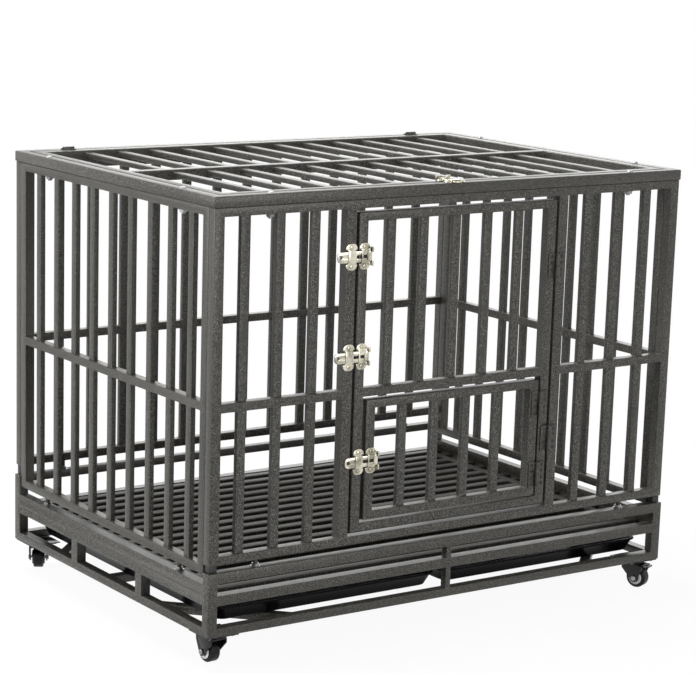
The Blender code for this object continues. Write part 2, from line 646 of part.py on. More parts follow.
def make_hinge(name, place, radius, pin, length, reach, steel):
    """A lift-apart hinge: a fixed half with a pin, and a moving half that drops over it.

    Each half has half of the knuckle and a leaf as tall as both. In the hinge's own frame the
    axis is Z, the fixed leaf points to +X and the faces lie towards +Y.
    """
    half = length / 2
    face = FIT + radius
    halves = []
    for kind, side, low, high in (("fixed", 1, -half, -FIT / 2), ("moving", -1, FIT / 2, half)):
        knuckle = rod(f"{name}_{kind}", (0, 0, low), (0, 0, high), radius, steel)
        near, far = sorted((0, side * reach))
        wing = box("wing", (near, face - FIT - HINGE_SHEET, low), (far, face - FIT, high), steel)
        combine(knuckle, wing, "UNION")
        near, far = sorted((side * (radius + LEAF_GAP), side * reach))
        leaf = box("leaf", (near, face - FIT - HINGE_SHEET, -half), (far, face - FIT, half), steel)
        halves.append(combine(knuckle, leaf, "UNION"))
    fixed, moving = halves
    pin_end = half - HINGE_SHEET
    combine(fixed, rod("pin", (0, 0, -FIT - EMBED), (0, 0, pin_end), pin, steel), "UNION")
    bore = rod("bore", (0, 0, -FIT), (0, 0, half + FIT), pin + FIT, steel)
    combine(moving, bore, "DIFFERENCE")
    move(fixed, place)
    move(moving, place)
    pivot(moving, place.translation)
    return fixed, moving


def make_hinges(steel):
    """Hinges with upright pins on the doors, and with pins along X behind the lid."""
    rows = (("main_hinge", MAIN_HINGE_X, DOOR_HINGES), ("feeding_hinge", FEED_HINGE_X, FEED_HINGES))
    for name, x, heights in rows:
        for level, height in zip(("lower", "upper"), heights):
            make_hinge(f"{name}_{level}", Matrix.Translation((x, HINGE_Y, height)),
                       HINGE_RADIUS, HINGE_PIN, HINGE_LENGTH, HINGE_WING, steel)
    turn = Matrix(((0, 0, -1, 0), (1, 0, 0, 0), (0, -1, 0, 0), (0, 0, 0, 1)))
    for side, x in zip(("left", "right"), LID_HINGES):
        place = Matrix.Translation((x, LID_HINGE_Y, LID_HINGE_Z)) @ turn
        make_hinge(f"lid_hinge_{side}", place, LID_HINGE_RADIUS, LID_HINGE_PIN,
                   LID_HINGE_LENGTH, LID_HINGE_WING, steel)


def make_hat(name, left, width, height, windowed, steel):
    """A keeper or guide: a strap over the bolt, with a round-ended screw tab above and below.

    A guide's strap has a window, which shows the slot of the bolt.

    In a latch's own frame Z points out of the face, the bolt slides along X, and Y runs across.
    """
    wall = BOLT_HEIGHT / 2 + FIT
    roof = FIT + BOLT_THICKNESS + FIT
    tab_end = height / 2
    profile = [
        (-tab_end, FIT), (-wall, FIT), (-wall, roof), (wall, roof), (wall, FIT), (tab_end, FIT),
        (tab_end, FIT + LATCH_SHEET), (wall + LATCH_SHEET, FIT + LATCH_SHEET),
        (wall + LATCH_SHEET, roof + LATCH_SHEET), (-wall - LATCH_SHEET, roof + LATCH_SHEET),
        (-wall - LATCH_SHEET, FIT + LATCH_SHEET), (-tab_end, FIT + LATCH_SHEET),
    ]
    plate = prism(name, profile, left, left + width, steel)
    move(plate, Matrix(((0, 0, 1, 0), (1, 0, 0, 0), (0, 1, 0, 0), (0, 0, 0, 1))))
    outline = rounded_rectangle((left, -tab_end), (left + width, tab_end), LATCH_ROUND)
    top = roof + 2 * LATCH_SHEET
    combine(plate, prism("outline", outline, 0, top, steel), "INTERSECT")
    strap_left, strap_right = left + STRAP_INSET, left + width - STRAP_INSET
    shoulder = wall + 2 * LATCH_SHEET
    for low, high in ((left - EMBED, strap_left), (strap_right, left + width + EMBED)):
        notch = box("notch", (low, -shoulder, 0), (high, shoulder, top), steel)
        combine(plate, notch, "DIFFERENCE")
    if windowed:
        low = (strap_left + WINDOW_STRIP, -WINDOW_HEIGHT / 2, roof - FIT)
        high = (strap_right - WINDOW_STRIP, WINDOW_HEIGHT / 2, top)
        combine(plate, box("window", low, high, steel), "DIFFERENCE")
    for side in (-1, 1):
        spot = (left + width / 2, side * (wall + tab_end) / 2)
        hole = rod("hole", (*spot, 0), (*spot, roof), SCREW_HOLE, steel, STUD_SIDES)
        combine(plate, hole, "DIFFERENCE")
    return plate


def make_bolt(name, tip, keeper_right, tail, has_eye, steel):
    """The sliding bolt: round tongue, with a padlock hole if it has an eye, slot and two ears."""
    half = BOLT_HEIGHT / 2
    bottom, top = FIT, FIT + BOLT_THICKNESS
    outline = rounded_rectangle((tip, -half), (tail, half), TONGUE_ROUND)
    bolt = prism(name, outline, bottom, top, steel)
    square_end = box("square_end", (keeper_right, -half, bottom), (tail, half, top), steel)
    combine(bolt, square_end, "UNION")
    lug_end = half + LUG_OVERHANG
    lug_low = (tail - BOLT_THICKNESS, -lug_end, bottom + EMBED / 2)
    lug = box("lug", lug_low, (tail, lug_end, bottom + LUG), steel)
    between_low = (tail - 2 * BOLT_THICKNESS, LUG_ROOT - half, top - EMBED / 2)
    between = box("between", between_low, (tail + EMBED, half - LUG_ROOT, bottom + 2 * LUG), steel)
    combine(lug, between, "DIFFERENCE")
    combine(bolt, lug, "UNION")
    if has_eye:
        eye = tip + PADLOCK_HOLE + PADLOCK_EDGE
        hole = rod("eye", (eye, 0, 0), (eye, 0, 2 * top), PADLOCK_HOLE, steel, PIN_SIDES)
        combine(bolt, hole, "DIFFERENCE")
    slot_low = (keeper_right - EMBED, -BOLT_SLOT / 2)
    slot_high = (tail - BOLT_THICKNESS - BOLT_SLOT_END, BOLT_SLOT / 2)
    slot = rounded_rectangle(slot_low, slot_high, BOLT_SLOT / 2 - FIT)
    return combine(bolt, prism("slot", slot, 0, 2 * top, steel), "DIFFERENCE")


def make_latch(name, place, keeper, guide, reach, height, has_eye, steel):
    """A slide latch: keeper and guide are (left edge, width) along the slide."""
    tip = keeper[0] - reach
    tail = guide[0] + guide[1] + FIT + BOLT_THICKNESS
    move(make_hat(f"latch_{name}_keeper", *keeper, height, False, steel), place)
    move(make_hat(f"latch_{name}_guide", *guide, height, True, steel), place)
    bolt = make_bolt(f"latch_{name}_bolt", tip, keeper[0] + keeper[1], tail, has_eye, steel)
    move(bolt, place)
    pivot(bolt, place @ Vector(((tip + tail) / 2, 0, FIT + BOLT_THICKNESS / 2)))


def make_latches(steel):
    facing = Matrix(((1, 0, 0, 0), (0, 0, -1, PANEL_FRONT), (0, 1, 0, 0), (0, 0, 0, 1)))
    keeper_left = DOORWAY_LEFT - JAMB / 2 - KEEPER_WIDTH / 2
    guide_left = DOOR_LEFT + FIT
    for level, height in DOOR_LATCHES.items():
        place = Matrix.Translation((0, 0, height)) @ facing
        make_latch(level, place, (keeper_left, KEEPER_WIDTH), (guide_left, GUIDE_WIDTH),
                   TONGUE, LATCH_HEIGHT, True, steel)
    place = Matrix.Translation((0, 0, FEED_LATCH)) @ facing
    make_latch("lower", place, (guide_left, GUIDE_WIDTH), (FEED_LEFT, GUIDE_WIDTH),
               TONGUE, LATCH_HEIGHT, True, steel)
    front_edge, lid_edge = FRONT + FIT, FRONT + TUBE + LID_GAP
    upwards = Matrix(((0, -1, 0, LID_LATCH), (1, 0, 0, 0), (0, 0, 1, RIM_TOP), (0, 0, 0, 1)))
    make_latch("lid", upwards, (front_edge, LID_PLATE_WIDTH), (lid_edge, LID_PLATE_WIDTH),
               LID_TONGUE, LID_LATCH_HEIGHT, False, steel)


def leg_outline():
    """A fork leg seen along the axle: a bar under the crown that narrows round the axle."""
    top = FORK_TOP - FORK_CROWN / 2
    points = [(-RACEWAY_RADIUS, top), (-RACEWAY_RADIUS, top - LEG_ROUND)]
    axle = Vector((TRAIL, WHEEL_RADIUS))
    for step in range(LEG_ARC_STEPS + 1):
        angle = radians(LEG_ARC[0] + LEG_ARC[1] * step / LEG_ARC_STEPS)
        points.append((axle.x + LEG_ROUND * cos(angle), axle.y + LEG_ROUND * sin(angle)))
    ear = PEDAL_PIVOT + PEDAL_PIN + EAR_EDGE
    points += [(ear, PEDAL_HEIGHT - PEDAL_PIN - EAR_EDGE), (ear, top)]
    return points


def make_fork(name, steel):
    """Swivel fork, in a frame with the kingpin on Z and the wheel trailing towards +X."""
    half = FORK_WIDTH / 2
    crown_bottom = FORK_TOP - FORK_CROWN
    fork = box(name, (-RACEWAY_RADIUS, -half, crown_bottom), (RACEWAY_RADIUS, half, FORK_TOP), steel)
    upright = Matrix.Rotation(pi / 2, 4, "X")
    for low, high in ((-half, -half + CASTER_SHEET), (half - CASTER_SHEET, half)):
        combine(fork, move(prism("leg", leg_outline(), low, high, steel), upright), "UNION")
    low, high = (0, 0, crown_bottom - FIT), (0, 0, FORK_TOP + FIT)
    combine(fork, rod("bore", low, high, KINGPIN_RADIUS + FIT, steel), "DIFFERENCE")
    for x, z, radius in ((TRAIL, WHEEL_RADIUS, AXLE_RADIUS), (PEDAL_PIVOT, PEDAL_HEIGHT, PEDAL_PIN)):
        hole = rod("hole", (x, -FORK_WIDTH, z), (x, FORK_WIDTH, z), radius + FIT, steel, PIN_SIDES)
        combine(fork, hole, "DIFFERENCE")
    return fork


def make_wheel(name, rubber):
    """A turned wheel: tread, side rings and bore, with its axle along Y."""
    tread, hub = TREAD_WIDTH / 2, WHEEL_WIDTH / 2
    half_profile = [(WHEEL_RADIUS, tread - TREAD_CHAMFER), (WHEEL_RADIUS - TREAD_CHAMFER, tread),
                    (WHEEL_HUB_RADIUS, tread), (WHEEL_HUB_RADIUS - TREAD_CHAMFER / 2, hub),
                    (AXLE_RADIUS + FIT, hub)]
    profile = half_profile + [(r, -y) for r, y in reversed(half_profile)]
    shape = bmesh.new()
    verts = [shape.verts.new((r, y, 0)) for r, y in profile]
    edges = [shape.edges.new((verts[i - 1], verts[i])) for i in range(len(verts))]
    bmesh.ops.spin(shape, geom=verts + edges, cent=(0, 0, 0), axis=(0, 1, 0), angle=2 * pi,
                   steps=WHEEL_SIDES, use_merge=True)
    bmesh.ops.remove_doubles(shape, verts=shape.verts, dist=FIT / 10)
    return mesh_object(name, shape, rubber, smooth=True)


def make_axle(name, steel):
    half = FORK_WIDTH / 2
    end = half + FIT + EMBED / 2
    axle = rod(name, (0, -end, 0), (0, end, 0), AXLE_RADIUS, steel, PIN_SIDES)
    for side in (-1, 1):
        inner, outer = side * (half + FIT), side * (half + FIT + AXLE_HEAD_LENGTH)
        combine(axle, rod("head", (0, inner, 0), (0, outer, 0), AXLE_HEAD, steel, NUT_SIDES), "UNION")
    return axle


def make_brake(name, steel):
    """Brake pedal: a cross pin held in the fork's ears and a looped pedal beyond it."""
    half = FORK_WIDTH / 2
    pin = rod(name, (0, -half, 0), (0, half, 0), PEDAL_PIN, steel, PIN_SIDES)
    reach = PEDAL_REACH - PEDAL_PIVOT
    width = PEDAL_WIDTH / 2
    outline = rounded_rectangle((-PEDAL_PIN, -width), (reach, width), PEDAL_ROUND)
    combine(pin, prism("pedal", outline, -PEDAL_SHEET / 2, PEDAL_SHEET / 2, steel), "UNION")
    window_low = (PEDAL_PIN + EMBED, -width + PEDAL_RIM)
    window_high = (reach - PEDAL_END, width - PEDAL_RIM)
    window = rounded_rectangle(window_low, window_high, PEDAL_ROUND / 2)
    return combine(pin, prism("window", window, -PEDAL_SHEET, PEDAL_SHEET, steel), "DIFFERENCE")


def make_caster_plate(name, steel):
    """Top plate, raceway and kingpin, which all stay with the base."""
    half = CASTER_PLATE / 2
    top = BASE - FIT
    plate = box(name, (-half, -half, top - CASTER_SHEET), (half, half, top), steel)
    pin_bottom = FORK_TOP - FORK_CROWN - FIT
    combine(plate, rod("raceway", (0, 0, FORK_TOP + FIT), (0, 0, top - CASTER_SHEET / 2),
                       RACEWAY_RADIUS, steel), "UNION")
    combine(plate, rod("kingpin", (0, 0, pin_bottom - EMBED / 2), (0, 0, top - CASTER_SHEET),
                       KINGPIN_RADIUS, steel), "UNION")
    combine(plate, rod("head", (0, 0, pin_bottom - KINGPIN_HEAD_HEIGHT), (0, 0, pin_bottom),
                       KINGPIN_HEAD, steel), "UNION")
    return plate


def make_casters(black, rubber, zinc):
    inset = CASTER_EDGE + CASTER_PLATE / 2
    inset_x, inset_y = SIDE - inset, DEPTH / 2 - inset
    for corner, turn in CASTER_TURNS.items():
        x = -inset_x if "left" in corner else inset_x
        y = MIDDLE_Y + (-inset_y if "front" in corner else inset_y)
        kingpin = Vector((x, y, 0))
        heading = Matrix.Translation(kingpin) @ Matrix.Rotation(radians(turn), 4, "Z")
        move(make_caster_plate(f"caster_plate_{corner}", black), Matrix.Translation(kingpin))
        pivot(move(make_fork(f"caster_fork_{corner}", black), heading), kingpin)
        axle_place = heading @ Matrix.Translation((TRAIL, 0, WHEEL_RADIUS))
        axle = move(make_axle(f"caster_axle_{corner}", zinc), axle_place)
        wheel = move(make_wheel(f"caster_wheel_{corner}", rubber), axle_place)
        pivot(axle, axle_place.translation)
        pivot(wheel, axle_place.translation)
        if "front" in corner:
            pedal_place = heading @ Matrix.Translation((PEDAL_PIVOT, 0, PEDAL_HEIGHT))
            brake = move(make_brake(f"caster_brake_{corner}", black), pedal_place)
            pivot(brake, pedal_place.translation)


def build():
    remove_everything()
    steel = finish("hammered_grey", (0.105, 0.105, 0.098), 0.55, 0.35)
    nickel = finish("nickel", (0.62, 0.60, 0.56), 0.28, 1.0)
    plastic = finish("tray_black", (0.012, 0.012, 0.014), 0.25, 0.0)
    black = finish("caster_black", (0.015, 0.015, 0.016), 0.45, 0.2)
    rubber = finish("rubber_black", (0.018, 0.018, 0.018), 0.7, 0.0)
    zinc = finish("zinc", (0.45, 0.45, 0.46), 0.35, 1.0)
    make_rim(steel)
    make_front_panel(steel)
    make_rear_panel(steel)
    make_side_panel("left_panel", -1, steel)
    make_side_panel("right_panel", 1, steel)
    pivot(make_lid(steel), (0, LID_HINGE_Y, LID_HINGE_Z))
    pivot(make_main_door(steel), (MAIN_HINGE_X, HINGE_Y, DOOR_BOTTOM))
    pivot(make_feeding_door(steel), (FEED_HINGE_X, HINGE_Y, FEED_BOTTOM))
    make_base(steel)
    make_floor(steel)
    make_tray("tray_left", -1, plastic)
    make_tray("tray_right", 1, plastic)
    make_spacers(rubber)
    make_hinges(steel)
    make_latches(nickel)
    make_casters(black, rubber, zinc)


build()
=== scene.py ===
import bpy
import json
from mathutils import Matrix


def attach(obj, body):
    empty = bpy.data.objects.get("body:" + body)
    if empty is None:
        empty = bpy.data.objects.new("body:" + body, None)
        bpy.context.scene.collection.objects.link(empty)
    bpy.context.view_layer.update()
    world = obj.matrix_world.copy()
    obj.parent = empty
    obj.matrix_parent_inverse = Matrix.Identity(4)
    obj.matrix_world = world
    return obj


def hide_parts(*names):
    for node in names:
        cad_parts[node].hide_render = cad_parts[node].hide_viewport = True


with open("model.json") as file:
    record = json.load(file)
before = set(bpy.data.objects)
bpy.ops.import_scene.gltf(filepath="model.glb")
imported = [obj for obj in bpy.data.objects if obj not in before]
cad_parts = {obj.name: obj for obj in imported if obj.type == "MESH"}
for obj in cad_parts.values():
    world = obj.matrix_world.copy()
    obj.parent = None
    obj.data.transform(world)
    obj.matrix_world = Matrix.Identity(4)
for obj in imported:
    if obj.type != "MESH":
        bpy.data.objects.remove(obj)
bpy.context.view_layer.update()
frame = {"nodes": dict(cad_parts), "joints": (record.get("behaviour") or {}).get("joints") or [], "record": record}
print("frame loaded:", len(frame["nodes"]), "pieces")

import json
import math
import bmesh
import bpy
from mathutils import Matrix, Vector

bodyOf = {node: body for body, nodes in frame["record"]["behaviour"]["bodies"].items() for node in nodes}


def screenColour(r, g, b):
    # 0-255 as seen on a screen, to the value a shader wants
    def one(c):
        c = c / 255
        return c / 12.92 if c <= 0.04045 else ((c + 0.055) / 1.055) ** 2.4
    return (one(r), one(g), one(b), 1)


# camera: what the lens looks straight at, in the photo's pixels, and where the eye stands
view = {
    "wide": 696, "tall": 673, "axisX": 300, "axisY": 400, "focal": 2333.4,
    "place": (-2.6116, -3.7331, 1.3618), "yaw": 33.94, "pitch": 12.33, "roll": 1.52,
}


def placeCamera():
    data = bpy.data.cameras.new("camera")
    camera = bpy.data.objects.new("camera", data)
    bpy.context.scene.collection.objects.link(camera)
    data.sensor_fit = "HORIZONTAL"
    data.sensor_width = 36
    data.lens = view["focal"] * data.sensor_width / view["wide"]
    data.shift_x = (view["wide"] / 2 - view["axisX"]) / view["wide"]
    data.shift_y = (view["axisY"] - view["tall"] / 2) / view["wide"]
    data.clip_start, data.clip_end = 0.1, 50
    yaw, pitch, roll = (math.radians(view[key]) for key in ("yaw", "pitch", "roll"))
    turn = Matrix.Rotation(-yaw, 4, "Z") @ Matrix.Rotation(math.pi / 2 - pitch, 4, "X")
    turn = turn @ Matrix.Rotation(roll, 4, "Z")
    camera.matrix_world = Matrix.Translation(view["place"]) @ turn
    bpy.context.scene.camera = camera


# room: white sweep and soft lamps; the low lamp behind skims the lid, bars and rails
room = {
    "ambient": 0.3, "floorSize": 14, "floorTone": 0.93, "floorRough": 0.9,
    "fade": (0.6, 1.6), "whiteNear": 0.94,
    "lamps": [
        # name, place, aims at, size, watts
        ("topLamp", (-0.3, 0.9, 3.2), (0, 0, 0.8), 1.6, 128),
        ("leftLamp", (-3.6, 0.9, 1.7), (0, 0, 0.4), 2.0, 96),
        ("frontLamp", (0.2, -4.4, 1.2), (0, 0, 0.4), 2.0, 48),
        ("backLamp", (3.3, 4.4, 1.9), (0, 0, 0.8), 3.0, 54),
    ],
}


def whiteWhereSeen(tree, seenColour, otherShader, out):
    # camera, mirror and glass rays get plain white, every other ray the shader
    rays = tree.nodes.new("ShaderNodeLightPath")
    most = tree.nodes.new("ShaderNodeMath")
    most.operation = "MAXIMUM"
    tree.links.new(rays.outputs["Is Camera Ray"], most.inputs[0])
    tree.links.new(rays.outputs["Is Glossy Ray"], most.inputs[1])
    both = tree.nodes.new("ShaderNodeMath")
    both.operation = "MAXIMUM"
    tree.links.new(most.outputs[0], both.inputs[0])
    tree.links.new(rays.outputs["Is Transmission Ray"], both.inputs[1])
    mix = tree.nodes.new("ShaderNodeMixShader")
    tree.links.new(both.outputs[0], mix.inputs["Fac"])
    tree.links.new(otherShader, mix.inputs[1])
    tree.links.new(seenColour, mix.inputs[2])
    tree.links.new(mix.outputs[0], out)


def lightRoom():
    world = bpy.data.worlds.new("studio")
    bpy.context.scene.world = world
    world.use_nodes = True
    tree = world.node_tree
    dim = tree.nodes["Background"]
    dim.inputs["Strength"].default_value = room["ambient"]
    dim.inputs["Color"].default_value = (1, 1, 1, 1)
    white = tree.nodes.new("ShaderNodeBackground")
    white.inputs["Strength"].default_value = 1
    white.inputs["Color"].default_value = (1, 1, 1, 1)
    out = tree.nodes["World Output"].inputs["Surface"]
    whiteWhereSeen(tree, white.outputs[0], dim.outputs[0], out)
    for name, place, aim, size, watts in room["lamps"]:
        data = bpy.data.lights.new(name, "AREA")
        data.size, data.energy = size, watts
        lamp = bpy.data.objects.new(name, data)
        bpy.context.scene.collection.objects.link(lamp)
        lamp.location = place
        lamp.rotation_euler = (Vector(aim) - Vector(place)).to_track_quat("-Z", "Y").to_euler()


def layFloor():
    size = room["floorSize"]
    shape = bmesh.new()
    corners = [(-size, -size), (size, -size), (size, size), (-size, size)]
    shape.faces.new([shape.verts.new((x, y, 0)) for x, y in corners])
    mesh = bpy.data.meshes.new("floor")
    shape.to_mesh(mesh)
    shape.free()
    floor = bpy.data.objects.new("floor", mesh)
    bpy.context.scene.collection.objects.link(floor)
    mat = bpy.data.materials.new("floorWhite")
    mat.use_nodes = True
    paint = mat.node_tree.nodes["Principled BSDF"]
    paint.inputs["Base Color"].default_value = grey(room["floorTone"])
    paint.inputs["Roughness"].default_value = room["floorRough"]
    # near the crate a little shadow shows, further out the floor turns into the white backdrop
    tree = mat.node_tree
    out = tree.nodes["Material Output"].inputs["Surface"]
    white = node(tree, "ShaderNodeEmission", Strength=1.0)
    fade = node(tree, "ShaderNodeMapRange", {"interpolation_type": "SMOOTHSTEP"})
    fade.inputs["From Min"].default_value, fade.inputs["From Max"].default_value = room["fade"]
    fade.inputs["To Min"].default_value = room["whiteNear"]
    away = node(tree, "ShaderNodeVectorMath", {"operation": "LENGTH"})
    tree.links.new(node(tree, "ShaderNodeTexCoord").outputs["Object"], away.inputs[0])
    tree.links.new(away.outputs["Value"], fade.inputs["Value"])
    blend = node(tree, "ShaderNodeMixShader")
    tree.links.new(fade.outputs["Result"], blend.inputs["Fac"])
    tree.links.new(paint.outputs[0], blend.inputs[1])
    tree.links.new(white.outputs[0], blend.inputs[2])
    whiteWhereSeen(tree, blend.outputs[0], paint.outputs[0], out)
    mesh.materials.append(mat)


# materials
def newMaterial(name):
    mat = bpy.data.materials.new(name)
    mat.use_nodes = True
    return mat, mat.node_tree, mat.node_tree.nodes["Principled BSDF"]


def node(tree, kind, settings=None, **inputs):
    made = tree.nodes.new(kind)
    for key, value in (settings or {}).items():
        setattr(made, key, value)
    for key, value in inputs.items():
        made.inputs[key].default_value = value
    return made


def ramp(tree, source, stops):
    made = tree.nodes.new("ShaderNodeValToRGB")
    tree.links.new(source, made.inputs["Fac"])
    bar = made.color_ramp
    while len(bar.elements) < len(stops):
        bar.elements.new(0.5)
    for element, (place, colour) in zip(bar.elements, stops):
        element.position, element.color = place, colour
    return made.outputs["Color"]


def grey(value):
    return (value, value, value, 1)


def addBump(tree, paint, height, strength, distance):
    bump = node(tree, "ShaderNodeBump", Strength=strength, Distance=distance)
    tree.links.new(height, bump.inputs["Height"])
    tree.links.new(bump.outputs["Normal"], paint.inputs["Normal"])
    return bump.outputs["Normal"]


# the coat's light colour is a pale fleck tone that paints glints on the hammered skin
coat = {
    "dark": screenColour(22, 21, 20),
    "mid": screenColour(57, 56, 52),
    "light": screenColour(150, 147, 138),
    "speckle": 760, "cells": 480, "patches": 9, "metallic": 0.3,
    "roughLow": 0.34, "roughHigh": 0.55, "bump": 0.5, "bumpDepth": 0.0004,
    "gloss": 0.22, "glossRough": 0.2, "shine": 0.35,
}

# the floor slats take the same hammered coat, painted darker as shade inside the crate, and with less gloss
paintedShadeSlatCoat = dict(coat, dark=screenColour(16, 15, 14), mid=screenColour(42, 41, 38),
                light=screenColour(104, 101, 95), roughLow=0.45, roughHigh=0.65, gloss=0.05, shine=0.2)


def hammeredCoat(name, look):
    # powder coat with a fine hammered skin: small cells, a mottle whose pale flecks are painted glints, and slow
    # patches
    mat, tree, paint = newMaterial(name)
    coords = node(tree, "ShaderNodeTexCoord").outputs["Object"]
    fine = node(tree, "ShaderNodeTexNoise", Scale=look["speckle"], Detail=3.0, Roughness=0.6)
    cells = node(tree, "ShaderNodeTexVoronoi", {"feature": "SMOOTH_F1"}, Scale=look["cells"])
    patches = node(tree, "ShaderNodeTexNoise", Scale=look["patches"], Detail=2.0)
    for texture in (fine, cells, patches):
        tree.links.new(coords, texture.inputs["Vector"])
    # dark and mid stops are the coat's own mottle; the pale top stop paints glints into the colour
    stops = [(0.34, look["dark"]), (0.54, look["mid"]), (0.7, look["light"])]
    mottleAndGlints = ramp(tree, fine.outputs["Fac"], stops)
    drift = ramp(tree, patches.outputs["Fac"], [(0.3, grey(0.86)), (0.7, grey(1.0))])
    blend = node(tree, "ShaderNodeMix", {"data_type": "RGBA", "blend_type": "MULTIPLY"})
    blend.inputs["Factor"].default_value = 1
    tree.links.new(mottleAndGlints, blend.inputs["A"])
    tree.links.new(drift, blend.inputs["B"])
    tree.links.new(blend.outputs["Result"], paint.inputs["Base Color"])
    stops = [(0.3, grey(look["roughLow"])), (0.7, grey(look["roughHigh"]))]
    tree.links.new(ramp(tree, fine.outputs["Fac"], stops), paint.inputs["Roughness"])
    paint.inputs["Metallic"].default_value = look["metallic"]
    paint.inputs["Specular IOR Level"].default_value = look["shine"]
    paint.inputs["Coat Weight"].default_value = look["gloss"]
    paint.inputs["Coat Roughness"].default_value = look["glossRough"]
    normal = addBump(tree, paint, cells.outputs["Distance"], look["bump"], look["bumpDepth"])
    tree.links.new(normal, paint.inputs["Coat Normal"])
    return mat


plating = {"dark": screenColour(150, 146, 130), "light": screenColour(222, 217, 200),
           "scratch": 260, "stretch": 0.15, "patches": 45, "rough": (0.14, 0.34),
           "bump": 0.16, "bumpDepth": 0.0002}


def nickelPlate():
    # bright plating with fine rubbed scratches and a few dull patches
    mat, tree, paint = newMaterial("nickelPlate")
    coords = node(tree, "ShaderNodeTexCoord").outputs["Object"]
    stretch = node(tree, "ShaderNodeMapping")
    stretch.inputs["Scale"].default_value = (plating["stretch"], 1, 1)
    tree.links.new(coords, stretch.inputs["Vector"])
    scratch = node(tree, "ShaderNodeTexNoise", Scale=plating["scratch"], Detail=4.0)
    tree.links.new(stretch.outputs["Vector"], scratch.inputs["Vector"])
    patches = node(tree, "ShaderNodeTexNoise", Scale=plating["patches"], Detail=3.0)
    tree.links.new(coords, patches.inputs["Vector"])
    tone = ramp(tree, patches.outputs["Fac"], [(0.35, plating["dark"]), (0.65, plating["light"])])
    tree.links.new(tone, paint.inputs["Base Color"])
    low, high = plating["rough"]
    rough = ramp(tree, scratch.outputs["Fac"], [(0.3, grey(low)), (0.7, grey(high))])
    tree.links.new(rough, paint.inputs["Roughness"])
    paint.inputs["Metallic"].default_value = 1
    addBump(tree, paint, scratch.outputs["Fac"], plating["bump"], plating["bumpDepth"])
    return mat


mould = {"bloom": 22, "bumpDepth": 0.0003}


def moulded(name, dark, light, rough, bumpScale, bump, metallic=0.0, shine=0.5):
    # moulded or dipped surface: a faint grain, and a paler bloom in slow patches
    mat, tree, paint = newMaterial(name)
    coords = node(tree, "ShaderNodeTexCoord").outputs["Object"]
    grain = node(tree, "ShaderNodeTexNoise", Scale=bumpScale, Detail=3.0)
    bloom = node(tree, "ShaderNodeTexNoise", Scale=mould["bloom"], Detail=3.0)
    for texture in (grain, bloom):
        tree.links.new(coords, texture.inputs["Vector"])
    tone = ramp(tree, bloom.outputs["Fac"], [(0.35, dark), (0.7, light)])
    tree.links.new(tone, paint.inputs["Base Color"])
    stops = [(0.3, grey(rough[0])), (0.7, grey(rough[1]))]
    tree.links.new(ramp(tree, bloom.outputs["Fac"], stops), paint.inputs["Roughness"])
    paint.inputs["Metallic"].default_value = metallic
    paint.inputs["Specular IOR Level"].default_value = shine
    addBump(tree, paint, grain.outputs["Fac"], bump, mould["bumpDepth"])
    return mat


def makeMaterials():
    return {
        "coat": hammeredCoat("hammeredCoat", coat),
        "paintedShadeSlatCoat": hammeredCoat("hammeredCoatPaintedShade", paintedShadeSlatCoat),
        "nickel": nickelPlate(),
        "tray": moulded("trayPlastic", screenColour(7, 7, 9), screenColour(15, 15, 18),
                        (0.2, 0.3), 160.0, 0.05, shine=0.04),
        "spacer": moulded("spacerPlastic", screenColour(16, 16, 17), screenColour(28, 28, 29),
                          (0.4, 0.55), 500.0, 0.2),
        "black": moulded("casterBlack", screenColour(8, 8, 9), screenColour(18, 18, 20),
                         (0.12, 0.24), 300.0, 0.12, shine=0.35),
        "rubber": moulded("treadRubber", screenColour(11, 11, 11), screenColour(23, 23, 23),
                          (0.28, 0.44), 600.0, 0.25, shine=0.2),
        "ring": moulded("wheelRing", screenColour(206, 206, 204), screenColour(234, 234, 232),
                        (0.22, 0.34), 300.0, 0.08),
        "zinc": moulded("zincPlate", screenColour(120, 120, 122), screenColour(170, 170, 172),
                        (0.22, 0.4), 300.0, 0.1, 0.9),
        "darkScrew": moulded("coatedScrew", screenColour(44, 43, 41), screenColour(74, 72, 68),
                             (0.25, 0.4), 420.0, 0.15, 0.5),
    }


# shaping tools
weldGap = 0.00001  # points closer than this become one


def finishMesh(name, shape, material, body, sharp=30):
    # turn a bmesh into a smooth-shaded object that rides on its body
    bmesh.ops.recalc_face_normals(shape, faces=shape.faces)
    mesh = bpy.data.meshes.new(name)
    shape.to_mesh(mesh)
    shape.free()
    mesh.shade_smooth()
    mesh.set_sharp_from_angle(angle=math.radians(sharp))
    mesh.materials.append(material)
    thing = bpy.data.objects.new(name, mesh)
    bpy.context.scene.collection.objects.link(thing)
    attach(thing, body)
    return thing


def softEdged(nodeName, newName, width, material, sharpFrom=40, keep=None):
    # a copy of a CAD piece with rounded edges, which stands for it; keep names edges left alone
    shape = bmesh.new()
    shape.from_mesh(frame["nodes"][nodeName].data)
    bmesh.ops.remove_doubles(shape, verts=shape.verts, dist=weldGap)
    limit = math.radians(sharpFrom)
    edges = [e for e in shape.edges if len(e.link_faces) == 2 and e.calc_face_angle() > limit]
    if keep:
        edges = [e for e in edges if not keep(e)]
    bmesh.ops.bevel(shape, geom=edges, offset=width, offset_type="OFFSET", segments=2,
                    profile=0.5, affect="EDGES", clamp_overlap=True)
    thing = finishMesh(newName, shape, material, bodyOf[nodeName])
    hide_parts(nodeName)
    return thing


def boundsOf(nodeName):
    thing = frame["nodes"][nodeName]
    points = [thing.matrix_world @ v.co for v in thing.data.vertices]
    low = Vector([min(p[i] for p in points) for i in range(3)])
    high = Vector([max(p[i] for p in points) for i in range(3)])
    return low, high


def skin(shape, rings):
    # join a stack of closed rings of points and close both ends
    loops = [[shape.verts.new(point) for point in ring] for ring in rings]
    for lower, upper in zip(loops, loops[1:]):
        for i in range(len(lower)):
            shape.faces.new((lower[i - 1], lower[i], upper[i], upper[i - 1]))
    shape.faces.new(loops[0])
    shape.faces.new(loops[-1])


